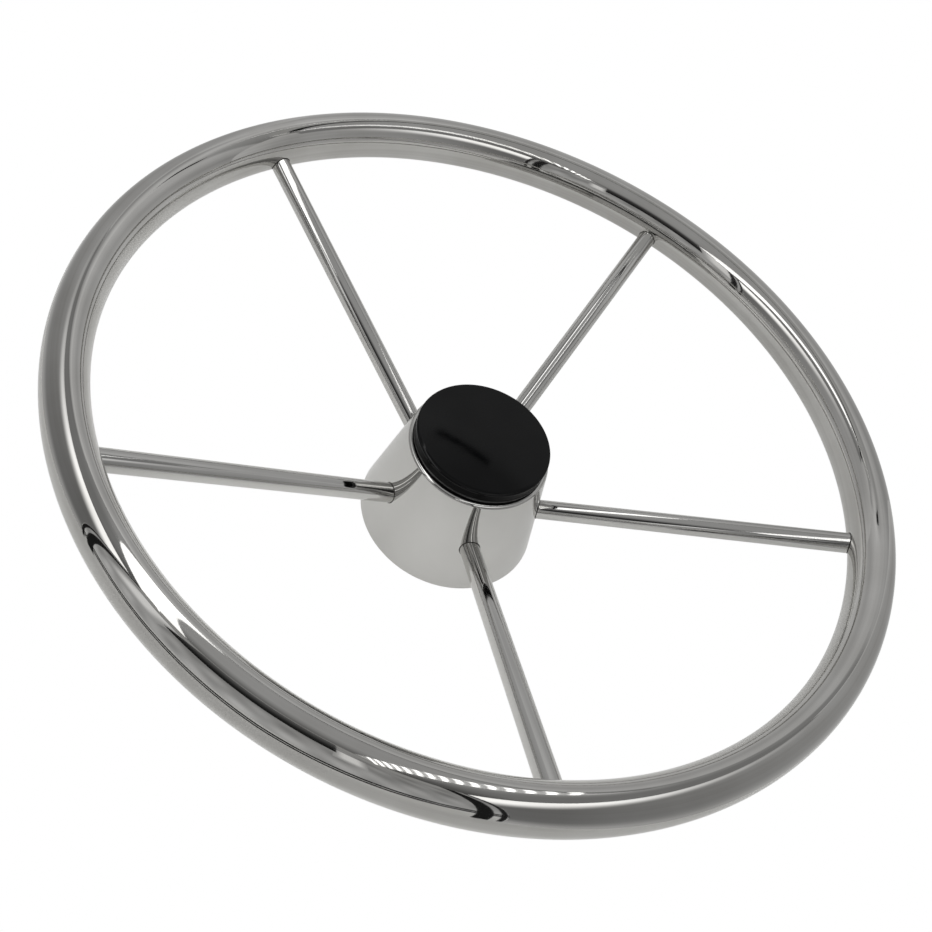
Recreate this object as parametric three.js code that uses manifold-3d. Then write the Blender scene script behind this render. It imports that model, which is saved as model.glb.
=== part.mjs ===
// A five-spoke stainless boat steering wheel of the dished "destroyer" pattern: a tube rim, rod spokes,
// a conical hub with a keyed taper bore, the nut and washer that hold it on its shaft, and a push-in cap.
//
// Millimetres. The wheel lies on its hub: +Z is the wheel's axis and points at the person steering, and the
// origin is the centre of the hub's back edge. The first spoke points along +Y.

import * as THREE from 'three';
import { mergeVertices } from 'three/addons/utils/BufferGeometryUtils.js';
import Module from 'manifold-3d';

const wasm = await Module();
wasm.setup();

// ---------------------------------------------------------------- driving dimensions

const inch = 25.4;
const gap = 0.3; // between pieces that touch

const wheelDiameter = 15.5 * inch;
const rimWidth = 19; // radially: a 7/8 in tube pressed oval as it is bent
const rimDepth = 25.4; // along the axis
const rimWall = 1.2;
const rimHeight = 93.6; // the rim's middle plane above the hub's back edge
const rimRadius = (wheelDiameter - rimWidth) / 2; // of the tube's centre circle

const spokeCount = 5;
const spokeRadius = 4.9; // 3/8 in rod, polished
const spokeDish = THREE.MathUtils.degToRad(23.15); // how far the spokes lean forward
const spokeDrop = 2.6; // a spoke aims this far behind the middle plane at the rim's centre circle
const ventRadius = 2; // lets gas out of the rim while a spoke is welded on
const weldLeg = 1.3;

const hubBackRadius = 46.5;
const hubHeight = 56.7;
const hubWall = 1.5;
const neckRadius = 32; // the rolled-in mouth that the cap plugs into
const neckDepth = 6;
const lipRadius = 1.95; // outside radius of the roll round the mouth

const bossRadius = (1.5 * inch) / 2;
const spigotRadius = (1.25 * inch) / 2; // the boss's front end, inside the web
const bossBack = 4.6; // the boss's back face above the hub's back edge
const bossFront = 30;
const webThickness = 4;
const boreRadius = (0.75 * inch) / 2; // of the taper's large end, at the boss's back face
const boreTaper = 1 / 24; // on the radius, which is 1 in 12 on the diameter
const keyWidth = (3 / 16) * inch;
const keyDepth = 2.4; // of the keyway, past the bore's wall
const chamfer = 0.8;
const filletLeg = 3; // of the weld beads inside the hub

const washerRadius = (1.3125 * inch) / 2;
const washerBore = 8.35;
const washerThickness = 2.4;
const nutFlats = (15 / 16) * inch;
const nutFace = 11.6; // radius of the flat left on each end by its chamfer
const nutHeight = 13.9;
const nutBore = 7.95; // the major radius of a 5/8 in thread

const capRadius = 33.8;
const capFoot = hubHeight + gap;
const capEdge = 64.1; // height of the cap's front edge
const capCrown = 0.6; // how far its middle stands above that edge
const capEdgeRound = 1.1;
const capBead = 1.5; // height of the foot bead below the groove
const capGroove = 0.5; // depth of the groove round the cap's side
const capWall = 2.4;
const skirtRadius = 31.3;
const skirtBottom = 49.5;
const ringSection = 1.25; // radius of the sealing ring's section
const ringHeight = 52.7; // of the sealing ring's middle
const ringRadius = neckRadius - gap - ringSection; // of its middle circle

// ---------------------------------------------------------------- numbers of facets

const hubFacets = 40;
const rimFacets = 80;
const rimSectionFacets = 16;
const rimHollowFacets = 12;
const spokeFacets = 16;
const ringFacets = 8;

// ---------------------------------------------------------------- materials

function metal(color, roughness) {
  return new THREE.MeshStandardMaterial({ color, roughness, metalness: 1 });
}

function plastic(color, roughness) {
  return new THREE.MeshStandardMaterial({ color, roughness, metalness: 0 });
}

const polishedSteel = metal(0xc9c9c6, 0.06);
const weldSteel = metal(0xa5a4a0, 0.3);
const turnedSteel = metal(0xb4b4b0, 0.28);
const capPlastic = plastic(0x0d0e10, 0.12);
const ringRubber = plastic(0x151515, 0.75);

// ---------------------------------------------------------------- surfaces and solids

const mergeDistance = 1e-4;

function signedVolume(position, index) {
  const corners = [new THREE.Vector3(), new THREE.Vector3(), new THREE.Vector3()];
  let volume = 0;
  for (let i = 0; i < index.length; i += 3) {
    corners.forEach((corner, k) => corner.fromBufferAttribute(position, index[i + k]));
    volume += corners[0].dot(corners[1].cross(corners[2])) / 6;
  }
  return volume;
}

// Shares the corners of a surface, drops triangles that have closed up, and turns its faces outward.
function closedSurface(geometry) {
  geometry.deleteAttribute('normal');
  geometry.deleteAttribute('uv');
  const merged = mergeVertices(geometry, mergeDistance);
  const index = [];
  for (let i = 0; i < merged.index.count; i += 3) {
    const [a, b, c] = [0, 1, 2].map((k) => merged.index.getX(i + k));
    if (a !== b && b !== c && c !== a) {
      index.push(a, b, c);
    }
  }
  if (signedVolume(merged.attributes.position, index) < 0) {
    index.reverse();
  }
  merged.setIndex(index);
  return merged;
}

function solid(geometry) {
  const closed = closedSurface(geometry);
  const mesh = new wasm.Mesh({
    numProp: 3,
    vertProperties: new Float32Array(closed.attributes.position.array),
    triVerts: new Uint32Array(closed.index.array),
  });
  return new wasm.Manifold(mesh);
}

function surface(manifold) {
  const mesh = manifold.getMesh();
  const geometry = new THREE.BufferGeometry();
  geometry.setAttribute('position', new THREE.BufferAttribute(mesh.vertProperties, 3));
  geometry.setIndex(new THREE.BufferAttribute(mesh.triVerts, 1));
  return geometry;
}

// A solid of revolution about +Z from a closed outline of [radius, height] points.
function turned(outline, facets = hubFacets) {
  const points = [...outline, outline[0]].map(([r, z]) => new THREE.Vector2(r, z));
  return closedSurface(new THREE.LatheGeometry(points, facets).rotateX(Math.PI / 2));
}

// Points of an arc in the same [radius, height] plane, both ends included. Angles are in radians.
function arc(centre, radius, from, to, steps) {
  return Array.from({ length: steps + 1 }, (_, i) => {
    const angle = from + ((to - from) * i) / steps;
    return [centre[0] + radius * Math.cos(angle), centre[1] + radius * Math.sin(angle)];
  });
}

function rimOutline(inset, steps) {
  return Array.from({ length: steps }, (_, i) => {
    const angle = (2 * Math.PI * i) / steps;
    const r = rimRadius + (rimWidth / 2 - inset) * Math.cos(angle);
    return [r, rimHeight + (rimDepth / 2 - inset) * Math.sin(angle)];
  });
}

// A closed surface through loops of equal length. It either runs from the last loop back to the first,
// or is closed at each end by a fan about the end's own middle point.
function loft(loops, middles) {
  const count = loops[0].length;
  const points = [...loops.flat(), ...(middles ?? [])];
  const index = [];
  const spans = middles ? loops.length - 1 : loops.length;
  for (let span = 0; span < spans; span += 1) {
    const here = span * count;
    const next = ((span + 1) % loops.length) * count;
    for (let i = 0; i < count; i += 1) {
      const j = (i + 1) % count;
      index.push(here + i, here + j, next + j, here + i, next + j, next + i);
    }
  }
  if (middles) {
    const last = (loops.length - 1) * count;
    for (let i = 0; i < count; i += 1) {
      const j = (i + 1) % count;
      index.push(points.length - 2, j, i, points.length - 1, last + i, last + j);
    }
  }
  const geometry = new THREE.BufferGeometry().setFromPoints(points);
  geometry.setIndex(index);
  return closedSurface(geometry);
}

// ---------------------------------------------------------------- the hub's cone

// The cone runs from the back edge to a tangent point on the rolled lip.
const lipCentre = [neckRadius + lipRadius, hubHeight - lipRadius];
const lipReach = hubBackRadius - lipCentre[0];
const lipSlant = Math.hypot(lipReach, lipCentre[1]);
const hubTaper = Math.acos(lipRadius / lipSlant) - Math.atan2(lipCentre[1], lipReach);

function hubRadiusAt(height) {
  return hubBackRadius - height * Math.tan(hubTaper);
}

function hubInsideAt(height) {
  return hubRadiusAt(height) - hubWall / Math.cos(hubTaper);
}

// ---------------------------------------------------------------- spoke ends

// A spoke is made pointing along +X. A place on it is a distance along its axis, from where the axis aims
// at the rim's centre circle, and a radius and an angle about the axis.
const spokeAim = new THREE.Vector3(rimRadius, 0, rimHeight - spokeDrop);
const spokeForward = new THREE.Vector3(Math.cos(spokeDish), 0, Math.sin(spokeDish));
const spokeSide = new THREE.Vector3(0, 1, 0);
const spokeBack = new THREE.Vector3().crossVectors(spokeForward, spokeSide);

function spokePlace(along, radius, angle) {
  return spokeAim
    .clone()
    .addScaledVector(spokeForward, along)
    .addScaledVector(spokeSide, radius * Math.cos(angle))
    .addScaledVector(spokeBack, radius * Math.sin(angle));
}

// Each end knows when a point is inside the piece that it is welded to, a place along the axis that is
// well inside, and which way along the axis leads back to the free part of the spoke.
const rimEnd = {
  holds: (point) => {
    const across = (Math.hypot(point.x, point.y) - rimRadius) / (rimWidth / 2 + gap);
    const up = (point.z - rimHeight) / (rimDepth / 2 + gap);
    return across * across + up * up < 1;
  },
  inside: 0,
  free: -1,
};
const hubEnd = {
  holds: (point) => Math.hypot(point.x, point.y) < hubRadiusAt(point.z) + gap / Math.cos(hubTaper),
  inside: -rimRadius / Math.cos(spokeDish),
  free: 1,
};
const spokeMiddle = (rimEnd.inside + hubEnd.inside) / 2;
const halvings = 40;

// The point where a line along the spoke meets the skin of the rim or hub, moved back by `standoff`.
function onSkin(end, radius, angle, standoff = 0) {
  let inside = end.inside;
  let outside = spokeMiddle;
  for (let i = 0; i < halvings; i += 1) {
    const middle = (inside + outside) / 2;
    if (end.holds(spokePlace(middle, radius, angle))) {
      inside = middle;
    } else {
      outside = middle;
    }
  }
  return spokePlace(outside + end.free * standoff, radius, angle);
}

function skinLoop(end, radius, standoff) {
  return Array.from({ length: spokeFacets }, (_, i) => {
    return onSkin(end, radius, (2 * Math.PI * i) / spokeFacets, standoff);
  });
}

// ---------------------------------------------------------------- pieces

function rimTube() {
  const ventLength = rimWidth;
  const tube = solid(turned(rimOutline(0, rimSectionFacets), rimFacets));
  const hollow = solid(turned(rimOutline(rimWall, rimHollowFacets), rimFacets));
  const mouth = onSkin(rimEnd, 0, 0);
  let rim = tube.subtract(hollow);
  for (let i = 0; i < spokeCount; i += 1) {
    const vent = new THREE.CylinderGeometry(ventRadius, ventRadius, ventLength, hubFacets / 4);
    vent.rotateZ(-Math.PI / 2).rotateY(-spokeDish);
    vent.translate(mouth.x, mouth.y, mouth.z).rotateZ(spokeAngle(i));
    rim = rim.subtract(solid(vent));
  }
  return surface(rim);
}

function spokeRod() {
  const loops = [skinLoop(hubEnd, spokeRadius, 0), skinLoop(rimEnd, spokeRadius, 0)];
  return loft(loops, [onSkin(hubEnd, 0, 0), onSkin(rimEnd, 0, 0)]);
}

// A weld bead round one end of a spoke, with a hollow face.
function spokeWeld(end) {
  const inner = spokeRadius + gap;
  const waist = 0.35 * weldLeg;
  return loft([
    skinLoop(end, inner, 0),
    skinLoop(end, inner, weldLeg),
    skinLoop(end, inner + waist, waist),
    skinLoop(end, inner + weldLeg, 0),
  ]);
}

// The cone, its rolled lip and the short neck that turns down inside it are one spun sheet.
function hubShell() {
  const neckBottom = hubHeight - neckDepth;
  return turned([
    [hubBackRadius, 0],
    ...arc(lipCentre, lipRadius, hubTaper, Math.PI, 6),
    [neckRadius, neckBottom],
    [neckRadius + hubWall, neckBottom],
    ...arc(lipCentre, lipRadius - hubWall, Math.PI, hubTaper, 3),
    [hubInsideAt(0), 0],
  ]);
}

// The disc that carries the boss inside the cone, where the spokes are welded on outside.
function hubWeb() {
  const back = bossFront - webThickness;
  return turned([
    [spigotRadius + gap, back],
    [hubInsideAt(back) - gap, back],
    [hubInsideAt(bossFront) - gap, bossFront],
    [spigotRadius + gap, bossFront],
  ]);
}

// The turned boss, with a taper bore that is large at the back and a keyway along +Y.
function hubBoss() {
  const shoulder = bossFront - webThickness - gap;
  const boreAt = (height) => boreRadius - (height - bossBack) * boreTaper;
  const blank = turned([
    [boreRadius + chamfer, bossBack],
    [bossRadius - chamfer, bossBack],
    [bossRadius, bossBack + chamfer],
    [bossRadius, shoulder],
    [spigotRadius, shoulder],
    [spigotRadius, bossFront],
    [boreAt(bossFront) + chamfer, bossFront],
    [boreAt(bossFront - chamfer), bossFront - chamfer],
    [boreAt(bossBack + chamfer), bossBack + chamfer],
  ]);
  const length = 2 * (bossFront - bossBack);
  const key = new THREE.BoxGeometry(keyWidth, boreRadius, length);
  key.translate(0, keyDepth + boreRadius / 2, 0).rotateX(Math.atan(boreTaper));
  key.translate(0, 0, bossBack);
  return surface(solid(blank).subtract(solid(key)));
}

// A ring of weld bead under the web, against a wall whose radius depends on height. The bead is on the
// side of the wall that `side` says: 1 is away from the axis and -1 towards it.
function innerWeld(wallRadiusAt, side) {
  const top = bossFront - webThickness - gap;
  const bottom = top - filletLeg;
  const waist = 0.35 * filletLeg;
  return turned([
    [wallRadiusAt(top) + side * gap, top],
    [wallRadiusAt(top) + side * (gap + filletLeg), top],
    [wallRadiusAt(top) + side * (gap + waist), top - waist],
    [wallRadiusAt(bottom) + side * gap, bottom],
  ]);
}

function shaftWasher() {
  const bottom = bossFront + gap;
  const top = bottom + washerThickness;
  const bevel = chamfer / 2;
  return turned([
    [washerBore, bottom],
    [washerRadius, bottom],
    [washerRadius, top - bevel],
    [washerRadius - bevel, top],
    [washerBore, top],
  ]);
}

// A hexagon nut with both ends chamfered to a cone and its hole countersunk.
function shaftNut() {
  const bottom = bossFront + gap + washerThickness + gap;
  const top = bottom + nutHeight;
  const corner = nutFlats / 2 / Math.cos(Math.PI / 6);
  const cone = (corner - nutFace) * Math.tan(Math.PI / 6);
  const hexagon = new THREE.CylinderGeometry(corner, corner, nutHeight, 6);
  hexagon.rotateX(Math.PI / 2).translate(0, 0, (bottom + top) / 2);
  const blank = turned([
    [nutBore + chamfer, bottom],
    [nutFace, bottom],
    [corner, bottom + cone],
    [corner, top - cone],
    [nutFace, top],
    [nutBore + chamfer, top],
    [nutBore, top - chamfer],
    [nutBore, bottom + chamfer],
  ]);
  return surface(solid(hexagon).intersect(solid(blank)));
}

// The cap: a crowned front, a grooved side that sits on the lip, and a skirt that plugs into the neck.
function centerCap() {
  const bandBottom = capFoot + capBead;
  const grooveRadius = capRadius - capGroove;
  const ceiling = capEdge - capWall;
  const seatDepth = ringSection + gap;
  const seatRadius = ringRadius - seatDepth;
  const skirtInside = seatRadius - capWall;
  const edgeCentre = [capRadius - capEdgeRound, capEdge - capEdgeRound];
  return turned([
    [0, capEdge + capCrown],
    [capRadius / 2, capEdge + 0.75 * capCrown],
    ...arc(edgeCentre, capEdgeRound, Math.PI / 2, 0, 4),
    [capRadius, bandBottom + 2 * capGroove],
    [grooveRadius, bandBottom + 1.5 * capGroove],
    [grooveRadius, bandBottom],
    [capRadius, bandBottom - capGroove / 2],
    [capRadius, capFoot],
    [skirtRadius, capFoot],
    [skirtRadius, ringHeight + seatDepth],
    [seatRadius, ringHeight + seatDepth],
    [seatRadius, ringHeight - seatDepth],
    [skirtRadius, ringHeight - seatDepth],
    [skirtRadius, skirtBottom + chamfer],
    [skirtRadius - chamfer, skirtBottom],
    [skirtInside, skirtBottom],
    [skirtInside, ceiling - 2 * chamfer],
    [skirtInside - 2 * chamfer, ceiling],
    [0, ceiling],
  ]);
}

function capRing() {
  return turned(arc([ringRadius, ringHeight], ringSection, 0, 2 * Math.PI, ringFacets).slice(0, -1));
}

// ---------------------------------------------------------------- assembly

function spokeAngle(i) {
  return Math.PI / 2 + (2 * Math.PI * i) / spokeCount;
}

const wheel = new THREE.Group();

function place(name, geometry, material, parent = wheel) {
  const mesh = new THREE.Mesh(geometry, material);
  mesh.name = name;
  parent.add(mesh);
  return mesh;
}

place('rim_tube', rimTube(), polishedSteel);

const rod = spokeRod();
const rimWeld = spokeWeld(rimEnd);
const hubWeld = spokeWeld(hubEnd);
for (let i = 0; i < spokeCount; i += 1) {
  const arm = new THREE.Group();
  arm.rotation.z = spokeAngle(i);
  place(`spoke_${i + 1}`, rod, polishedSteel, arm);
  place(`spoke_${i + 1}_rim_weld`, rimWeld, weldSteel, arm);
  place(`spoke_${i + 1}_hub_weld`, hubWeld, weldSteel, arm);
  wheel.add(arm);
}

place('hub_shell', hubShell(), polishedSteel);
place('hub_web', hubWeb(), turnedSteel);
place('hub_boss', hubBoss(), turnedSteel);
place('web_weld', innerWeld(hubInsideAt, -1), weldSteel);
place('boss_weld', innerWeld(() => bossRadius, 1), weldSteel);
place('shaft_washer', shaftWasher(), turnedSteel);
place('shaft_nut', shaftNut(), turnedSteel);
place('center_cap', centerCap(), capPlastic);
place('cap_o_ring', capRing(), ringRubber);

export default wheel;
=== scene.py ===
"""Looks of the five-spoke boat steering wheel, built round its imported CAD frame.

Lengths are in millimetres, in the CAD's frame, until a mesh is made, and the scene itself is in metres.
+Z is the wheel's axis and points at the person steering. The wheel lies on its hub's back edge, z = 0.
"""

import math

import bmesh
import bpy
import numpy as np
from mathutils import Matrix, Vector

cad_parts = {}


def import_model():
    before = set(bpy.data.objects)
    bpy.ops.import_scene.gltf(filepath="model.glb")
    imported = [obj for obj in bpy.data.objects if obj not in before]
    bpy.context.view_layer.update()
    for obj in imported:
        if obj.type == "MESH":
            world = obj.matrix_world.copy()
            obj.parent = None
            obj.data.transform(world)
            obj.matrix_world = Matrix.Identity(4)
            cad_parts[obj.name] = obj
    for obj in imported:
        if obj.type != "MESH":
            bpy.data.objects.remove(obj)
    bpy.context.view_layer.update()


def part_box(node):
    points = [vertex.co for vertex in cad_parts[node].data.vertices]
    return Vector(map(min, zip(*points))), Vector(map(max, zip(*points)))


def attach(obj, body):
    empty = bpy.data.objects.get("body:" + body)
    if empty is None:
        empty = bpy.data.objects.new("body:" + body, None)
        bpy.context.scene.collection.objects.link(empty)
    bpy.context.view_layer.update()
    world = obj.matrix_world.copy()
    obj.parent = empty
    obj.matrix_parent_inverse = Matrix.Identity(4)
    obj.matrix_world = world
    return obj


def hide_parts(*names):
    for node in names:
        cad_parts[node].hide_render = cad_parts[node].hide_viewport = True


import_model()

MM = 0.001

# ---------------------------------------------------------------- dimensions, as in the CAD part

rim_low, rim_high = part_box("rim_tube")
hub_low, hub_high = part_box("hub_shell")
cap_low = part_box("center_cap")[0]
boss_low, boss_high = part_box("hub_boss")
washer_low, washer_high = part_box("shaft_washer")
nut_low, nut_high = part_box("shaft_nut")
ring_low, ring_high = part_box("cap_o_ring")

RIM_WIDTH = 19.0
RIM_DEPTH = (rim_high.z - rim_low.z) / MM
RIM_WALL = 1.2
RIM_HEIGHT = (rim_high.z + rim_low.z) / 2 / MM
RIM_RADIUS = (rim_high.x - rim_low.x) / 2 / MM - RIM_WIDTH / 2

SPOKE_COUNT = 5
SPOKE_RADIUS = 4.9
SPOKE_DISH = math.radians(23.15)
SPOKE_DROP = 2.6
SPOKE_WELD = 0.55

HUB_BACK_RADIUS = (hub_high.x - hub_low.x) / 2 / MM
HUB_HEIGHT = hub_high.z / MM
HUB_WALL = 1.5
NECK_RADIUS = 32.0
NECK_DEPTH = 6.0
LIP_RADIUS = 1.95

BOSS_RADIUS = (boss_high.x - boss_low.x) / 2 / MM
SPIGOT_RADIUS = 15.875
BOSS_BACK = boss_low.z / MM
BOSS_FRONT = boss_high.z / MM
WEB_THICKNESS = 4.0
BORE_RADIUS = 9.525
BORE_TAPER = 1 / 24
KEY_WIDTH = 4.7625
KEY_DEPTH = 2.4
INNER_WELD = 3.0

WASHER_RADIUS = (washer_high.x - washer_low.x) / 2 / MM
WASHER_BORE = 8.35
NUT_FLATS = 23.8125
NUT_BORE = 7.95
NUT_FACE = 11.6
THREAD_PITCH = 25.4 / 18

CAP_RADIUS = 33.8
CAP_FOOT = 57.0
CAP_EDGE = 64.1
CAP_CROWN = 0.6
CAP_WALL = 2.4
CAP_SHOULDER = 1.0
CAP_BEAD_RISE = 1.1
CAP_BEAD_HEIGHT = 0.9
SKIRT_RADIUS = 31.3
RING_SECTION = (ring_high.z - ring_low.z) / 2 / MM
RING_HEIGHT = (ring_high.z + ring_low.z) / 2 / MM
RING_RADIUS = (ring_high.x - ring_low.x) / 2 / MM - RING_SECTION

# ---------------------------------------------------------------- stage dimensions, levels and camera

TENT_LEFT = -330
TENT_RIGHT = 290
TENT_FRONT = -350
TENT_BACK = 290
ROOF_FRONT = 500
ROOF_BACK = 400
ROOF_END = 200
LAMPS = 15
LAMP_THICKNESS = 17
LAMP_LEVEL = 2.6
BLACK = 0.015
FLOOR_HALF = 1500

CAMERA_DISTANCE = 468.47
CAMERA_AZIMUTH = math.radians(10.02)
CAMERA_ELEVATION = math.radians(48.86)
CAMERA_TILT = math.radians(27.1)
CAMERA_AIM = (1.86, -21.56, 64.1)
CAMERA_LENS = 38.874
CAMERA_SENSOR = 36

# ---------------------------------------------------------------- meshes


def piece(name, points, faces, material, body, slot, nodes, crease=35):
    """A shown piece from points in millimetres, smooth except at edges sharper than crease degrees."""
    mesh = bpy.data.meshes.new(name)
    mesh.from_pydata([tuple(float(c) * MM for c in p) for p in points], [], faces)
    mesh.validate()
    outward = bmesh.new()
    outward.from_mesh(mesh)
    bmesh.ops.remove_doubles(outward, verts=outward.verts, dist=1e-7)
    bmesh.ops.recalc_face_normals(outward, faces=outward.faces)
    outward.to_mesh(mesh)
    outward.free()
    mesh.polygons.foreach_set("use_smooth", [True] * len(mesh.polygons))
    mesh.set_sharp_from_angle(angle=math.radians(crease))
    mesh.materials.append(material)
    obj = bpy.data.objects.new(name, mesh)
    bpy.context.scene.collection.objects.link(obj)
    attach(obj, body)
    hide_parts(*nodes)
    return obj


def grid_faces(rows, columns, wrap_rows, wrap_columns, start=0):
    """Quads over a grid of points that may run round in either direction."""
    faces = []
    for i in range(rows if wrap_rows else rows - 1):
        for j in range(columns if wrap_columns else columns - 1):
            here, right = i * columns + j, i * columns + (j + 1) % columns
            below = ((i + 1) % rows) * columns + j
            corner = ((i + 1) % rows) * columns + (j + 1) % columns
            faces.append((start + here, start + right, start + corner, start + below))
    return faces


def rounded(corners, steps=5):
    """A closed outline from (radius, height, fillet) corners, each fillet a smooth curve."""
    outline = []
    count = len(corners)
    for i, (r, z, fillet) in enumerate(corners):
        here = np.array([r, z], float)
        if fillet == 0:
            outline.append(here)
            continue
        before = np.array(corners[i - 1][:2], float) - here
        after = np.array(corners[(i + 1) % count][:2], float) - here
        before /= np.linalg.norm(before)
        after /= np.linalg.norm(after)
        half = math.acos(max(-1, min(1, float(before @ after)))) / 2
        reach = fillet / math.tan(half)
        middle = (before + after) / np.linalg.norm(before + after)
        centre = here + middle * fillet / math.sin(half)
        start, end = here + before * reach - centre, here + after * reach - centre
        for k in range(steps + 1):
            t = k / steps
            spread = math.pi - 2 * half
            weight = math.sin(spread)
            a = math.sin((1 - t) * spread) / weight
            b = math.sin(t * spread) / weight
            outline.append(centre + a * start + b * end)
    return outline


def arc(centre, radius, start, end, steps):
    angles = np.linspace(start, end, steps + 1)
    return [np.array([centre[0] + radius * math.cos(a), centre[1] + radius * math.sin(a)]) for a in angles]


def ellipse(centre, across, up, steps):
    angles = np.linspace(0, 2 * math.pi, steps, endpoint=False)
    return [np.array([centre[0] + across * math.cos(a), centre[1] + up * math.sin(a)]) for a in angles]


def turn(outline, steps):
    """Points and faces of a closed outline of (radius, height) turned about +Z."""
    angles = np.linspace(0, 2 * math.pi, steps, endpoint=False)
    points = [(r * math.cos(a), r * math.sin(a), z) for r, z in outline for a in angles]
    return points, grid_faces(len(outline), steps, True, True)


def combined(*parts):
    points, faces = [], []
    for more_points, more_faces in parts:
        start = len(points)
        points += list(more_points)
        faces += [tuple(start + i for i in f) for f in more_faces]
    return points, faces


def level_ring(radius, height, steps):
    angles = np.linspace(0, 2 * math.pi, steps, endpoint=False)
    return [(radius * math.cos(a), radius * math.sin(a), height) for a in angles]


def about_axis(points, angle):
    c, s = math.cos(angle), math.sin(angle)
    return [(c * x - s * y, s * x + c * y, z) for x, y, z in points]


# ---------------------------------------------------------------- the hub's cone and the spokes' ends

lip_centre = (NECK_RADIUS + LIP_RADIUS, HUB_HEIGHT - LIP_RADIUS)
lip_reach = HUB_BACK_RADIUS - lip_centre[0]
lip_distance = math.hypot(lip_reach, lip_centre[1])
hub_taper = math.acos(LIP_RADIUS / lip_distance) - math.atan2(lip_centre[1], lip_reach)


def hub_radius_at(height):
    return HUB_BACK_RADIUS - height * math.tan(hub_taper)


def hub_inside_at(height):
    return hub_radius_at(height) - HUB_WALL / math.cos(hub_taper)


spoke_aim = np.array([RIM_RADIUS, 0, RIM_HEIGHT - SPOKE_DROP])
spoke_forward = np.array([math.cos(SPOKE_DISH), 0, math.sin(SPOKE_DISH)])
spoke_side = np.array([0.0, 1.0, 0.0])
spoke_back = np.cross(spoke_forward, spoke_side)


def spoke_place(along, radius, angle):
    around = math.cos(angle) * spoke_side + math.sin(angle) * spoke_back
    return spoke_aim + along * spoke_forward + radius * around


def in_rim(point):
    across = (math.hypot(point[0], point[1]) - RIM_RADIUS) / (RIM_WIDTH / 2)
    up = (point[2] - RIM_HEIGHT) / (RIM_DEPTH / 2)
    return across * across + up * up < 1


def in_hub(point):
    return math.hypot(point[0], point[1]) < hub_radius_at(point[2])


RIM_END = {"holds": in_rim, "inside": 0.0, "free": -1}
HUB_END = {"holds": in_hub, "inside": -RIM_RADIUS / math.cos(SPOKE_DISH), "free": 1}
SPOKE_MIDDLE = HUB_END["inside"] / 2


def skin_loop(end, radius, standoff, steps):
    """A loop of points round a spoke where it meets the rim or hub, moved back by standoff."""
    loop = []
    for i in range(steps):
        angle = 2 * math.pi * i / steps
        inside, outside = end["inside"], SPOKE_MIDDLE
        for _ in range(32):
            middle = (inside + outside) / 2
            if end["holds"](spoke_place(middle, radius, angle)):
                inside = middle
            else:
                outside = middle
        loop.append(spoke_place(outside + end["free"] * standoff, radius, angle))
    return loop


# ---------------------------------------------------------------- pieces


def rim_tube(material):
    steps = 540
    outside = turn(ellipse((RIM_RADIUS, RIM_HEIGHT), RIM_WIDTH / 2, RIM_DEPTH / 2, 72), steps)
    inside = turn(
        ellipse((RIM_RADIUS, RIM_HEIGHT), RIM_WIDTH / 2 - RIM_WALL, RIM_DEPTH / 2 - RIM_WALL, 24), 180
    )
    return piece("rim", *combined(outside, inside), material, "wheel", "polished_steel", ["rim_tube"])


def spoke_rod(index, angle, material):
    steps, rings = 48, 40
    ends = [skin_loop(HUB_END, SPOKE_RADIUS, -0.3, steps), skin_loop(RIM_END, SPOKE_RADIUS, -0.3, steps)]
    points = []
    for k in range(rings + 1):
        t = k / rings
        points += [(1 - t) * a + t * b for a, b in zip(*ends)]
    faces = grid_faces(rings + 1, steps, False, True)
    faces.append(tuple(range(steps)))
    faces.append(tuple(rings * steps + i for i in range(steps)))
    name = f"spoke_{index}"
    return piece(
        name + "_rod", about_axis(points, angle), faces, material, "wheel", "polished_steel", [name]
    )


def spoke_weld(index, angle, end, end_name, material):
    """A small hollow-faced bead round a spoke's end, sunk a little into both the pieces it joins."""
    steps, sunk = 96, 0.08
    loops = [skin_loop(end, SPOKE_RADIUS - sunk, -sunk, steps)]
    for a in np.linspace(0, math.pi / 2, 7):
        out, back = SPOKE_WELD * (1 - math.cos(a)), SPOKE_WELD * (1 - math.sin(a))
        loop = skin_loop(end, SPOKE_RADIUS - sunk / 2 + out, back - sunk / 2, steps)
        ripple = 0.035 * math.sin(2 * a)
        for i, p in enumerate(loop):
            axis_point = spoke_aim + ((p - spoke_aim) @ spoke_forward) * spoke_forward
            away = (p - axis_point) / np.linalg.norm(p - axis_point)
            loop[i] = p + away * ripple * math.cos(2 * math.pi * 24 * i / steps)
        loops.append(loop)
    points = [p for loop in loops for p in loop]
    faces = grid_faces(len(loops), steps, True, True)
    name = f"spoke_{index}_{end_name}_weld"
    return piece(
        name + "_bead", about_axis(points, angle), faces, material, "wheel", "weld_steel", [name]
    )


def hub_shell(material):
    neck_bottom = HUB_HEIGHT - NECK_DEPTH
    edge = HUB_WALL / 2
    outline = [
        (HUB_BACK_RADIUS - 0.5, 0),
        (HUB_BACK_RADIUS - 0.2, 0.08),
        (hub_radius_at(0.3), 0.3),
        *arc(lip_centre, LIP_RADIUS, hub_taper, math.pi, 28),
        (NECK_RADIUS, neck_bottom + edge),
        (NECK_RADIUS + edge / 2, neck_bottom + 0.1),
        (NECK_RADIUS + edge, neck_bottom),
        (NECK_RADIUS + 1.5 * edge, neck_bottom + 0.1),
        (NECK_RADIUS + HUB_WALL, neck_bottom + edge),
        *arc(lip_centre, LIP_RADIUS - HUB_WALL, math.pi, hub_taper, 10),
        (hub_inside_at(0.3), 0.3),
        (hub_inside_at(0) + 0.3, 0),
    ]
    return piece("hub_cone", *turn(outline, 256), material, "wheel", "polished_steel", ["hub_shell"])


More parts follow.
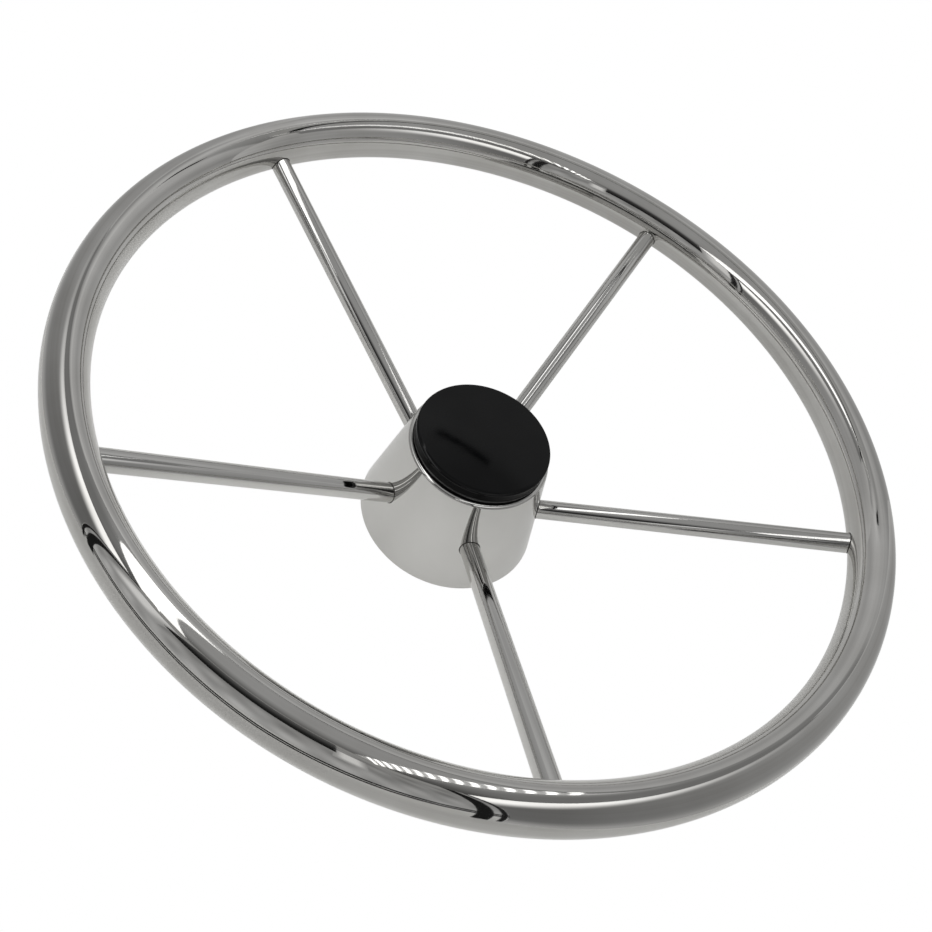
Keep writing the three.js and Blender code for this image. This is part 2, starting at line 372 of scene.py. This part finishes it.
def hub_web(material):
    back = BOSS_FRONT - WEB_THICKNESS
    outline = rounded(
        [
            (SPIGOT_RADIUS + 0.1, back, 0.3),
            (hub_inside_at(back) - 0.1, back, 0.3),
            (hub_inside_at(BOSS_FRONT) - 0.1, BOSS_FRONT, 0.3),
            (SPIGOT_RADIUS + 0.1, BOSS_FRONT, 0.3),
        ]
    )
    return piece("web_disc", *turn(outline, 128), material, "wheel", "turned_steel", ["hub_web"])


def bore_radius_at(height):
    return BORE_RADIUS - (height - BOSS_BACK) * BORE_TAPER


def boss_radius_at(height):
    """The boss's outside is straight, so every height has the same radius."""
    return BOSS_RADIUS


def hub_boss(material):
    """The boss is turned with a taper bore, and the keyway is cut out of the bore's wall along +Y."""
    shoulder = BOSS_FRONT - WEB_THICKNESS - 0.3
    outline = rounded(
        [
            (bore_radius_at(BOSS_BACK) + 0.8, BOSS_BACK, 0.1),
            (BOSS_RADIUS - 0.8, BOSS_BACK, 0.15),
            (BOSS_RADIUS, BOSS_BACK + 0.8, 0.15),
            (BOSS_RADIUS, shoulder, 0.2),
            (SPIGOT_RADIUS, shoulder, 0.2),
            (SPIGOT_RADIUS, BOSS_FRONT, 0.3),
            (bore_radius_at(BOSS_FRONT) + 0.8, BOSS_FRONT, 0.1),
            (bore_radius_at(BOSS_FRONT - 0.8), BOSS_FRONT - 0.8, 0.1),
            (bore_radius_at(BOSS_BACK + 0.8), BOSS_BACK + 0.8, 0.1),
        ],
        3,
    )
    boss = piece("boss", *turn(outline, 128), material, "wheel", "turned_steel", ["hub_boss"])
    key_corners = [
        (x, y, z)
        for x in (-KEY_WIDTH / 2, KEY_WIDTH / 2)
        for y in (0, KEY_DEPTH + BORE_RADIUS)
        for z in (BOSS_BACK - 10, BOSS_FRONT + 10)
    ]
    slope = [(x, y - (z - BOSS_BACK) * BORE_TAPER if y else y, z) for x, y, z in key_corners]
    key_faces = [(0, 1, 3, 2), (4, 6, 7, 5), (0, 4, 5, 1), (2, 3, 7, 6), (0, 2, 6, 4), (1, 5, 7, 3)]
    cut_piece(boss, slope, key_faces)
    return boss


def cut_piece(obj, points, faces):
    """Cuts a closed shape, given in millimetres, out of a piece's mesh."""
    mesh = bpy.data.meshes.new("cutter")
    mesh.from_pydata([tuple(c * MM for c in p) for p in points], [], faces)
    cutter = bpy.data.objects.new("cutter", mesh)
    bpy.context.scene.collection.objects.link(cutter)
    modifier = obj.modifiers.new("cut", "BOOLEAN")
    modifier.operation = "DIFFERENCE"
    modifier.solver = "EXACT"
    modifier.object = cutter
    evaluated = obj.evaluated_get(bpy.context.evaluated_depsgraph_get())
    cut = bpy.data.meshes.new_from_object(evaluated)
    obj.modifiers.clear()
    obj.data = cut
    cut.set_sharp_from_angle(angle=math.radians(35))
    bpy.data.objects.remove(cutter)


def inner_weld(name, node, wall_radius_at, side, material):
    """A rippled bead under the web, against a wall whose radius depends on height."""
    top = BOSS_FRONT - WEB_THICKNESS
    steps, ripples = 360, 90
    section = [(0.0, 0.0), (1.0, 0.0), (0.72, 0.3), (0.5, 0.5), (0.3, 0.72), (0.0, 1.0)]
    points = []
    for out, down in section:
        for i in range(steps):
            a = 2 * math.pi * i / steps
            swell = 0.13 * INNER_WELD * abs(math.sin(a * ripples / 2)) if 0 < out < 1 else 0
            z = top - down * INNER_WELD - swell * 0.5
            r = wall_radius_at(z) + side * (out * INNER_WELD + swell * 0.5)
            points.append((r * math.cos(a), r * math.sin(a), z))
    faces = grid_faces(len(section), steps, True, True)
    return piece(name, points, faces, material, "wheel", "weld_steel", [node], crease=60)


def shaft_washer(material):
    bottom, top = washer_low.z / MM, washer_high.z / MM
    outline = rounded(
        [
            (WASHER_BORE, bottom, 0.15),
            (WASHER_RADIUS, bottom, 0.2),
            (WASHER_RADIUS, top, 0.45),
            (WASHER_BORE, top, 0.25),
        ]
    )
    return piece("washer_disc", *turn(outline, 128), material, "washer", "turned_steel", ["shaft_washer"])


def shaft_nut(material):
    """A hexagon nut: its sides follow the hexagon, and a cone takes off the corners at both ends."""
    bottom, top = nut_low.z / MM, nut_high.z / MM
    corner = NUT_FLATS / 2 / math.cos(math.pi / 6)
    slope = math.tan(math.pi / 6)
    steps = 192
    side_rows = 12
    rows = []
    for k in range(side_rows + 1):
        t = k / side_rows
        row = []
        for i in range(steps):
            a = 2 * math.pi * i / steps
            off_middle = a % (math.pi / 3) - math.pi / 6
            r = NUT_FLATS / 2 / math.cos(off_middle)
            cone = (r - NUT_FACE) * slope
            z = bottom + cone + (top - bottom - 2 * cone) * t
            row.append((r * math.cos(a), r * math.sin(a), z))
        rows.append(row)
    rows.append(level_ring(NUT_FACE, top, steps))
    rows.append(level_ring(NUT_BORE + 0.8, top, steps))
    turns = (top - bottom - 1.2) / THREAD_PITCH
    per_turn = 6
    thread_rows = int(turns * per_turn)
    depth = 0.54 * THREAD_PITCH
    for k in range(thread_rows + 1):
        row = []
        for i in range(steps):
            z = top - 0.6 - (top - bottom - 1.2) * k / thread_rows
            phase = (z / THREAD_PITCH - i / steps) % 1
            r = NUT_BORE - depth * (1 - abs(2 * phase - 1))
            a = 2 * math.pi * i / steps
            row.append((r * math.cos(a), r * math.sin(a), z))
        rows.append(row)
    rows.append(level_ring(NUT_BORE + 0.8, bottom, steps))
    rows.append(level_ring(NUT_FACE, bottom, steps))
    points = [p for row in rows for p in row]
    faces = grid_faces(len(rows), steps, True, True)
    return piece("nut_hex", points, faces, material, "nut", "turned_steel", ["shaft_nut"], crease=25)


def center_cap(gloss, satin, highlight_bead):
    """The moulded cap: a crowned front, a satin side band whose turned-down reflection paints the side dark
    (painted shade), a paler bead at its foot whose colour helps paint a light line (painted highlight), and a
    skirt.
    """
    seat = RING_SECTION + 0.3
    seat_radius = RING_RADIUS - seat
    skirt_bottom = cap_low.z / MM
    skirt_inside = seat_radius - CAP_WALL
    ceiling = CAP_EDGE - CAP_WALL
    bead_low = CAP_FOOT + CAP_BEAD_RISE
    band_low = bead_low + CAP_BEAD_HEIGHT
    band_high = CAP_EDGE - CAP_SHOULDER
    crown = [(CAP_RADIUS * t, CAP_EDGE + CAP_CROWN * (1 - t * t) ** 1.5) for t in np.linspace(0, 0.93, 24)]
    crown[0] = (0.001, crown[0][1])
    side = rounded(
        [
            (crown[-1][0], crown[-1][1], 0),
            (CAP_RADIUS, CAP_EDGE, 0.9),
            (CAP_RADIUS, band_high, 0),
            (CAP_RADIUS - 0.7, band_high, 0),
            (CAP_RADIUS - 0.7, bead_low + 0.1, 0),
            (CAP_RADIUS - 0.2, bead_low + 0.1, 0),
            (CAP_RADIUS - 0.4, CAP_FOOT, 0.2),
            (SKIRT_RADIUS, CAP_FOOT, 0),
            (SKIRT_RADIUS, RING_HEIGHT + seat, 0.2),
            (seat_radius, RING_HEIGHT + seat, 0.2),
            (seat_radius, RING_HEIGHT - seat, 0.2),
            (SKIRT_RADIUS, RING_HEIGHT - seat, 0.2),
            (SKIRT_RADIUS, skirt_bottom, 0.7),
            (skirt_inside, skirt_bottom, 0.4),
            (skirt_inside, ceiling, 1.6),
            (0.001, ceiling, 0),
        ]
    )
    band = rounded(
        [
            (CAP_RADIUS - 0.8, band_low - 0.1, 0),
            (CAP_RADIUS - 0.25, band_low - 0.1, 0.1),
            (CAP_RADIUS - 0.25, band_high + 0.1, 0.1),
            (CAP_RADIUS - 0.8, band_high + 0.1, 0),
        ]
    )
    bead = rounded(
        [
            (CAP_RADIUS - 0.8, bead_low, 0),
            (CAP_RADIUS, bead_low, 0.3),
            (CAP_RADIUS, band_low, 0.4),
            (CAP_RADIUS - 0.8, band_low, 0),
        ]
    )
    piece("cap_moulding", *turn(crown[:-1] + side, 256), gloss, "cap", "cap_plastic", ["center_cap"])
    piece("cap_side_band", *turn(band, 256), satin, "cap", "cap_plastic", ["center_cap"])
    piece("cap_foot_bead", *turn(bead, 256), highlight_bead, "cap", "cap_plastic", ["center_cap"])


def cap_ring(material):
    outline = ellipse((RING_RADIUS, RING_HEIGHT), RING_SECTION, RING_SECTION, 24)
    return piece("sealing_ring", *turn(outline, 192), material, "cap", "ring_rubber", ["cap_o_ring"])


# ---------------------------------------------------------------- materials


class Nodes:
    """A new node material with short calls for its nodes and links."""

    def __init__(self, name):
        self.material = bpy.data.materials.new(name)
        self.material.use_nodes = True
        self.tree = self.material.node_tree
        self.shader = next(n for n in self.tree.nodes if n.type == "BSDF_PRINCIPLED")
        self.place = self.add("ShaderNodeTexCoord").outputs["Object"]

    def add(self, kind, **values):
        node = self.tree.nodes.new(kind)
        for key, value in values.items():
            setattr(node, key, value)
        return node

    def link(self, source, target):
        self.tree.links.new(source, target)

    def noise(self, scale, detail=3.0, place=None):
        node = self.add("ShaderNodeTexNoise")
        node.inputs["Scale"].default_value = scale
        node.inputs["Detail"].default_value = detail
        self.link(place or self.place, node.inputs["Vector"])
        return node.outputs["Fac"]

    def ramp(self, value, low, high, from_low=0.3, from_high=0.7):
        node = self.add("ShaderNodeMapRange")
        node.inputs["From Min"].default_value = from_low
        node.inputs["From Max"].default_value = from_high
        node.inputs["To Min"].default_value = low
        node.inputs["To Max"].default_value = high
        self.link(value, node.inputs["Value"])
        return node.outputs["Result"]

    def tint(self, value, dark, light, from_low=0.3, from_high=0.7):
        node = self.add("ShaderNodeValToRGB")
        node.color_ramp.elements[0].position = from_low
        node.color_ramp.elements[1].position = from_high
        node.color_ramp.elements[0].color = (*dark, 1)
        node.color_ramp.elements[1].color = (*light, 1)
        self.link(value, node.inputs["Fac"])
        return node.outputs["Color"]

    def average(self, first, second):
        node = self.add("ShaderNodeMix")
        node.inputs["Factor"].default_value = 0.5
        self.link(first, node.inputs["A"])
        self.link(second, node.inputs["B"])
        return node.outputs["Result"]

    def around(self, scale):
        """Places that are the same all along a ring round the wheel's axis."""
        split = self.add("ShaderNodeSeparateXYZ")
        self.link(self.place, split.inputs["Vector"])
        flat = self.add("ShaderNodeVectorMath", operation="MULTIPLY")
        flat.inputs[1].default_value = (1, 1, 0)
        self.link(self.place, flat.inputs[0])
        radius = self.add("ShaderNodeVectorMath", operation="LENGTH")
        self.link(flat.outputs["Vector"], radius.inputs[0])
        join = self.add("ShaderNodeCombineXYZ")
        self.link(radius.outputs["Value"], join.inputs["X"])
        self.link(split.outputs["Z"], join.inputs["Y"])
        grow = self.add("ShaderNodeVectorMath", operation="SCALE")
        grow.inputs["Scale"].default_value = scale
        self.link(join.outputs["Vector"], grow.inputs[0])
        return grow.outputs["Vector"]

    def stretched(self, scale):
        node = self.add("ShaderNodeMapping")
        node.inputs["Scale"].default_value = scale
        self.link(self.place, node.inputs["Vector"])
        return node.outputs["Vector"]

    def bump(self, height, distance, strength=1.0, normal=None):
        node = self.add("ShaderNodeBump")
        node.inputs["Strength"].default_value = strength
        node.inputs["Distance"].default_value = distance
        self.link(height, node.inputs["Height"])
        if normal is not None:
            self.link(normal, node.inputs["Normal"])
        return node.outputs["Normal"]

    def set(self, **sockets):
        for key, value in sockets.items():
            socket = self.shader.inputs[key.replace("_", " ")]
            if isinstance(value, bpy.types.NodeSocket):
                self.link(value, socket)
            else:
                socket.default_value = value
        return self.material


def polished_steel(name, along_ring, dull=1.0):
    """Mirror-polished stainless: a faint warm grey, hand marks, and wheel lines that smear its highlights."""
    n = Nodes(name)
    cloud = n.noise(28, 4)
    fine = n.noise(900, 3)
    lines = n.noise(60, 5, n.stretched((1, 1, 45)))
    color = n.tint(cloud, (0.565, 0.56, 0.545), (0.6, 0.595, 0.58))
    if along_ring:
        streaks = n.noise(1, 4, n.around(420))
        color = n.tint(n.average(cloud, streaks), (0.49, 0.48, 0.46), (0.65, 0.645, 0.63))
    rough = n.ramp(n.noise(45, 5), 0.03 * dull, 0.065 * dull)
    normal = n.bump(lines, 0.0000012)
    normal = n.bump(fine, 0.0000008, normal=normal)
    if along_ring:
        tangent = n.add("ShaderNodeTangent", direction_type="RADIAL", axis="Z")
        n.set(Tangent=tangent.outputs["Tangent"], Anisotropic=0.8, Anisotropic_Rotation=0.25)
    return n.set(Base_Color=color, Metallic=1.0, Roughness=rough, Normal=normal)


def weld_steel():
    """Weld metal, given a nearly black colour with a slight straw tint: painted shade, the dark line where
    the spokes meet the rim and the hub.
    """
    n = Nodes("weld_steel")
    color = n.tint(n.noise(420, 4), (0.02, 0.019, 0.017), (0.07, 0.067, 0.06))
    rough = n.ramp(n.noise(700, 4), 0.22, 0.42)
    return n.set(Base_Color=color, Metallic=1.0, Roughness=rough, Normal=n.bump(n.noise(1500, 3), 0.00002))


def turned_steel():
    """Machined steel with fine rings left by the lathe's tool."""
    n = Nodes("turned_steel")
    rings = n.add("ShaderNodeTexWave", wave_type="RINGS", rings_direction="Z", wave_profile="SIN")
    rings.inputs["Scale"].default_value = 900
    rings.inputs["Distortion"].default_value = 0.6
    n.link(n.place, rings.inputs["Vector"])
    color = n.tint(n.noise(120, 5), (0.42, 0.415, 0.40), (0.53, 0.525, 0.505))
    rough = n.ramp(n.noise(300, 4), 0.2, 0.34)
    normal = n.bump(rings.outputs["Fac"], 0.000006)
    return n.set(Base_Color=color, Metallic=1.0, Roughness=rough, Normal=normal)


def cap_plastic():
    """Gloss black plastic: barely lighter clouds, and the slight waviness of a moulded face."""
    n = Nodes("cap_plastic")
    color = n.tint(n.noise(60, 6), (0.0004, 0.0006, 0.0008), (0.0028, 0.003, 0.0034))
    rough = n.ramp(n.noise(90, 5), 0.04, 0.1)
    normal = n.bump(n.noise(55, 2), 0.000012)
    normal = n.bump(n.noise(1400, 3), 0.0000012, normal=normal)
    return n.set(Base_Color=color, Roughness=rough, Normal=normal, IOR=1.29)


def shaded_band_plastic():
    """The band round the cap's side: satin, nearly black, with a fine grain, and its reflection turned down
    to 0.12, which paints the cap's side dark: painted shade.
    """
    n = Nodes("cap_plastic_shaded_band")
    color = n.tint(n.noise(300, 4), (0.0004, 0.0005, 0.0006), (0.002, 0.002, 0.0022))
    rough = n.ramp(n.noise(600, 4), 0.3, 0.42)
    normal = n.bump(n.noise(2200, 3), 0.000006)
    return n.set(Base_Color=color, Roughness=rough, Normal=normal, IOR=1.29, Specular_IOR_Level=0.12)


def highlight_bead_plastic():
    """The bead at the cap's foot, a little paler than the rest of the cap: the paler colour is a painted
    highlight, the thin light line at the cap's foot, beside the real reflection off its rounded top.
    """
    n = Nodes("cap_plastic_highlight_bead")
    color = n.tint(n.noise(260, 5), (0.024, 0.024, 0.024), (0.06, 0.06, 0.058))
    rough = n.ramp(n.noise(500, 4), 0.25, 0.4)
    normal = n.bump(n.noise(1800, 3), 0.000006)
    return n.set(Base_Color=color, Roughness=rough, Normal=normal, IOR=1.29)


def ring_rubber():
    """Matt nitrile rubber with a fine grain."""
    n = Nodes("ring_rubber")
    color = n.tint(n.noise(500, 4), (0.008, 0.008, 0.008), (0.016, 0.016, 0.015))
    rough = n.ramp(n.noise(800, 4), 0.55, 0.75)
    return n.set(Base_Color=color, Roughness=rough, Normal=n.bump(n.noise(2500, 3), 0.00001))


# ---------------------------------------------------------------- the wheel

steel = polished_steel("polished_steel", False)
spoke_steel = polished_steel("polished_spokes", False, 1.5)
weld, turned, plastic, rubber = weld_steel(), turned_steel(), cap_plastic(), ring_rubber()
rim_tube(polished_steel("polished_rim", True))
for index in range(1, SPOKE_COUNT + 1):
    angle = math.pi / 2 + 2 * math.pi * (index - 1) / SPOKE_COUNT
    spoke_rod(index, angle, spoke_steel)
    spoke_weld(index, angle, RIM_END, "rim", weld)
    spoke_weld(index, angle, HUB_END, "hub", weld)
hub_shell(steel)
hub_web(turned)
hub_boss(turned)
inner_weld("web_bead", "web_weld", hub_inside_at, -1, weld)
inner_weld("boss_bead", "boss_weld", boss_radius_at, 1, weld)
shaft_washer(turned)
shaft_nut(turned)
center_cap(plastic, shaded_band_plastic(), highlight_bead_plastic())
cap_ring(rubber)

# ---------------------------------------------------------------- floor, light and camera


def stage_glow():
    """The one material of the tent and room: each panel's corners say how brightly it glows."""
    material = bpy.data.materials.new("stage_glow")
    material.use_nodes = True
    tree = material.node_tree
    tree.nodes.clear()
    level = tree.nodes.new("ShaderNodeAttribute")
    level.attribute_name = "level"
    glow = tree.nodes.new("ShaderNodeEmission")
    out = tree.nodes.new("ShaderNodeOutputMaterial")
    tree.links.new(level.outputs["Fac"], glow.inputs["Strength"])
    tree.links.new(glow.outputs["Emission"], out.inputs["Surface"])
    return material


def panel(name, corner, across, up, level, material, steps=16, taper=1.0):
    """A flat stage panel in millimetres, hidden from the camera. level is a number, or a function of u and v.

    taper is the width of the far end against the near end's."""
    corner, across, up = (np.array(v, float) for v in (corner, across, up))
    if not callable(level):
        steps = 1
    places = [(i / steps, j / steps) for j in range(steps + 1) for i in range(steps + 1)]
    mesh = bpy.data.meshes.new(name)
    spread = [0.5 + (u - 0.5) * mix(1, taper, v) for u, v in places]
    points = [tuple((corner + s * across + v * up) * MM) for s, (u, v) in zip(spread, places)]
    mesh.from_pydata(points, [], grid_faces(steps + 1, steps + 1, False, False))
    levels = [level(u, v) if callable(level) else level for u, v in places]
    mesh.attributes.new("level", "FLOAT", "POINT").data.foreach_set("value", levels)
    mesh.materials.append(material)
    obj = bpy.data.objects.new(name, mesh)
    bpy.context.scene.collection.objects.link(obj)
    obj.visible_camera = False
    return obj


def smooth(t):
    t = max(0.0, min(1.0, t))
    return t * t * (3 - 2 * t)


def mix(a, b, t):
    return a + (b - a) * t


def roof_at(y):
    return mix(ROOF_FRONT, ROOF_BACK, (y - TENT_FRONT) / (ROOF_END - TENT_FRONT))


def light_tent(glow):
    """An open-fronted light tent over the wheel, with two strips of small lamps under its roof."""
    wide, deep = TENT_RIGHT - TENT_LEFT, TENT_BACK - TENT_FRONT
    top = ROOF_FRONT + 20

    def side_level(u, v):
        plain = mix(0.19, 0.42, smooth(1.3 * u)) + 0.15 * smooth(5 * u - 4)
        low = mix(0.5, plain, smooth(6 * v))
        beam = smooth((v - 0.52) / 0.26) * (1 - smooth((u - 0.3) / 0.5))
        return mix(low, 1.7, beam)

    def roof_level(u, v):
        beside = smooth((abs(TENT_LEFT + u * wide + 20) - 140) / 60)
        return mix(0.2, 0.4, smooth(2.5 * v)) * mix(1, 0.6, beside)

    def rear_level(u, v):
        spot = math.exp(-((u - 0.28) ** 2) / 0.02 - (v - 0.86) ** 2 / 0.008)
        rise = 0.12 * smooth((v - 0.4) / 0.3) - 0.1 * smooth(2 * u - 1) - 0.2 * smooth((v - 0.78) / 0.06)
        return mix(0.6, 0.44, smooth(2.2 * v)) + rise + 0.3 * spot

    panel(
        "tent_roof",
        (TENT_LEFT, TENT_FRONT, roof_at(TENT_FRONT) + 8),
        (wide, 0, 0),
        (0, ROOF_END - TENT_FRONT, ROOF_BACK - ROOF_FRONT),
        roof_level,
        glow,
        24,
    )
    panel("tent_left", (TENT_LEFT, TENT_FRONT, 0), (0, deep, 0), (0, 0, top), side_level, glow, 48)
    panel("tent_right", (TENT_RIGHT, TENT_FRONT, 0), (0, deep, 0), (0, 0, top), side_level, glow, 48)
    panel("tent_rear", (TENT_LEFT, TENT_BACK, 0), (wide, 0, 0), (0, 0, top), rear_level, glow, 32)
    panel("tent_rear_seam", (-111, TENT_BACK - 2, 418), (84, 0, 3), (0, 0, 16), BLACK, glow)
    panel("tent_back_pole", (-190, 192, roof_at(ROOF_END) - 4), (310, 0, 0), (0, 11, 0), BLACK, glow)
    for name, x, inward in (("left", TENT_LEFT, 1), ("right", TENT_RIGHT, -1)):
        for k, (reach, thick) in enumerate(((3, 11), (27, 27))):
            start = (x + inward * reach, TENT_FRONT + 1, 0)
            panel(f"tent_{name}_pole_{k}", start, (inward * thick, 0, 0), (0, 0, top), BLACK, glow)
    for k, low in enumerate((24, 44)):
        for name, x, z, end_x, end_z in (
            ("left", TENT_LEFT, low + 6, 0, low),
            ("right", 0, low, TENT_RIGHT, low + 66),
        ):
            across = (end_x - x, 0, end_z - z)
            panel(f"tent_edge_{name}_{k}", (x, TENT_FRONT + 1, z), across, (0, 0, 14), BLACK, glow)
    lamp_strip("left", (-222, -330), (-118, 175), 52, 0.5, (46, 110), 1.9, glow)
    lamp_strip("right", (114, -333), (100, 165), 20, 1.4, (-50, 118), 0.62, glow)


def lamp_strip(name, start, end, half_width, taper, streak, bed, glow):
    """A strip of small lamps under the roof, from front to back, each drawn out into a thin streak."""
    start = np.array([*start, roof_at(start[1]) - 6])
    end = np.array([*end, roof_at(end[1]) - 6])
    run = end - start
    corner = start - np.array([half_width, 0, 0])
    panel(f"strip_{name}_bed", corner, (2 * half_width, 0, 0), run, bed, glow, taper=taper)
    across = np.array([*streak, roof_at(streak[1]) - roof_at(0)])
    for k in range(LAMPS):
        corner = start + run * (k + 0.5) / LAMPS - across / 2 - np.array([0, 0, 3])
        panel(f"strip_{name}_lamp_{k}", corner, across, (0, LAMP_THICKNESS, 0), LAMP_LEVEL, glow)


def room(glow):
    """What the metal mirrors through the tent's front: a pale room, windows and a dark flag."""

    def flag(u, v):
        return mix(0.01, 0.14, smooth(v))

    def pane(u, v):
        return 0.45 + 0.5 * smooth(3 * u) * smooth(3 * (1 - u)) * smooth(3 * v)

    def wall(u, v):
        clutter = math.sin(31 * u + 5 * v) * math.sin(47 * u - 13 * v) + 0.6 * math.sin(83 * u + 17 * v)
        return mix(0.5, 0.34, smooth(2 * v)) * (1 + 0.16 * clutter)

    panel("dark_flag", (-230, -480, 350), (330, 0, 0), (0, 0, 420), flag, glow)
    panel("window_left", (-440, -520, 220), (200, 0, 0), (0, 0, 380), pane, glow)
    panel("window_right", (100, -500, 240), (60, 0, 0), (0, 0, 240), pane, glow)
    panel("room_rear", (-900, -760, 0), (1800, 0, 0), (0, 0, 1100), wall, glow, 96)


def floor():
    """A white sheet that the wheel lies on: plain white to the camera, and, for what the metal mirrors, a
    glow with painted light and shade.
    """
    material = bpy.data.materials.new("floor_white")
    material.use_nodes = True
    tree = material.node_tree
    shader = next(n for n in tree.nodes if n.type == "BSDF_PRINCIPLED")
    shader.inputs["Base Color"].default_value = (0.8, 0.8, 0.79, 1)
    shader.inputs["Roughness"].default_value = 0.9
    shader.inputs["Emission Color"].default_value = (1, 1, 0.985, 1)
    level = tree.nodes.new("ShaderNodeAttribute")
    level.attribute_name = "level"
    tree.links.new(level.outputs["Fac"], shader.inputs["Emission Strength"])
    glow = tree.nodes.new("ShaderNodeEmission")
    glow.inputs["Strength"].default_value = 1.0
    path = tree.nodes.new("ShaderNodeLightPath")
    blend = tree.nodes.new("ShaderNodeMixShader")
    out = next(n for n in tree.nodes if n.type == "OUTPUT_MATERIAL")
    tree.links.new(path.outputs["Is Camera Ray"], blend.inputs[0])
    tree.links.new(shader.outputs["BSDF"], blend.inputs[1])
    tree.links.new(glow.outputs["Emission"], blend.inputs[2])
    tree.links.new(blend.outputs["Shader"], out.inputs["Surface"])

    def level_at(u, v):
        """The sheet's glow is painted: a painted pool of light before the hub, painted shadow of the wheel
        under the far rim, and a painted shadow band under the near rim.
        """
        x, y = (2 * u - 1) * FLOOR_HALF, (2 * v - 1) * FLOOR_HALF
        # A painted pool of light before the hub, then painted shadow under the far rim and under the near
        # rim, all in the sheet's glow.
        before = math.exp(-(x**2 + (y + 60) ** 2) / 140**2)
        painted_rim_shadow = math.exp(-(x**2 + (y - 170) ** 2) / 170**2)
        front = math.exp(-((x / 260) ** 2) - ((y + 290) / 80) ** 2)
        return 0.26 + 0.17 * before - 0.15 * painted_rim_shadow - 0.12 * front

    corner, across, up = (-FLOOR_HALF, -FLOOR_HALF, -0.4), (2 * FLOOR_HALF, 0, 0), (0, 2 * FLOOR_HALF, 0)
    sheet = panel("floor", corner, across, up, level_at, material, 100)
    sheet.visible_camera = True


def world():
    """White all round the camera's view, and an even grey for what the metal mirrors."""
    scene = bpy.context.scene
    scene.world = bpy.data.worlds.new("studio")
    scene.world.use_nodes = True
    tree = scene.world.node_tree
    tree.nodes.clear()
    white = tree.nodes.new("ShaderNodeBackground")
    white.inputs["Color"].default_value = (1, 1, 1, 1)
    grey = tree.nodes.new("ShaderNodeBackground")
    grey.inputs["Color"].default_value = (0.4, 0.4, 0.395, 1)
    path = tree.nodes.new("ShaderNodeLightPath")
    blend = tree.nodes.new("ShaderNodeMixShader")
    out = tree.nodes.new("ShaderNodeOutputWorld")
    tree.links.new(path.outputs["Is Camera Ray"], blend.inputs[0])
    tree.links.new(grey.outputs["Background"], blend.inputs[1])
    tree.links.new(white.outputs["Background"], blend.inputs[2])
    tree.links.new(blend.outputs["Shader"], out.inputs["Surface"])


def camera():
    """The camera looks down at the cap's front edge from the side of spoke 4, a little tilted."""
    azimuth, elevation = CAMERA_AZIMUTH, CAMERA_ELEVATION
    reach = math.cos(elevation)
    back = np.array([math.sin(azimuth) * reach, -math.cos(azimuth) * reach, math.sin(elevation)])
    level = np.array([math.cos(azimuth), math.sin(azimuth), 0.0])
    up = np.cross(back, level)
    right = math.cos(CAMERA_TILT) * level + math.sin(CAMERA_TILT) * up
    top = np.cross(back, right)
    place = (np.array(CAMERA_AIM) + CAMERA_DISTANCE * back) * MM
    data = bpy.data.cameras.new("camera")
    data.sensor_width = CAMERA_SENSOR
    data.lens = CAMERA_LENS
    data.clip_start = 0.01
    obj = bpy.data.objects.new("camera", data)
    bpy.context.scene.collection.objects.link(obj)
    obj.matrix_world = Matrix(
        [[right[i], top[i], back[i], place[i]] for i in range(3)] + [[0, 0, 0, 1]]
    )
    bpy.context.scene.camera = obj


stage_light = stage_glow()
floor()
world()
light_tent(stage_light)
room(stage_light)
camera()
bpy.context.scene.view_settings.view_transform = "Standard"
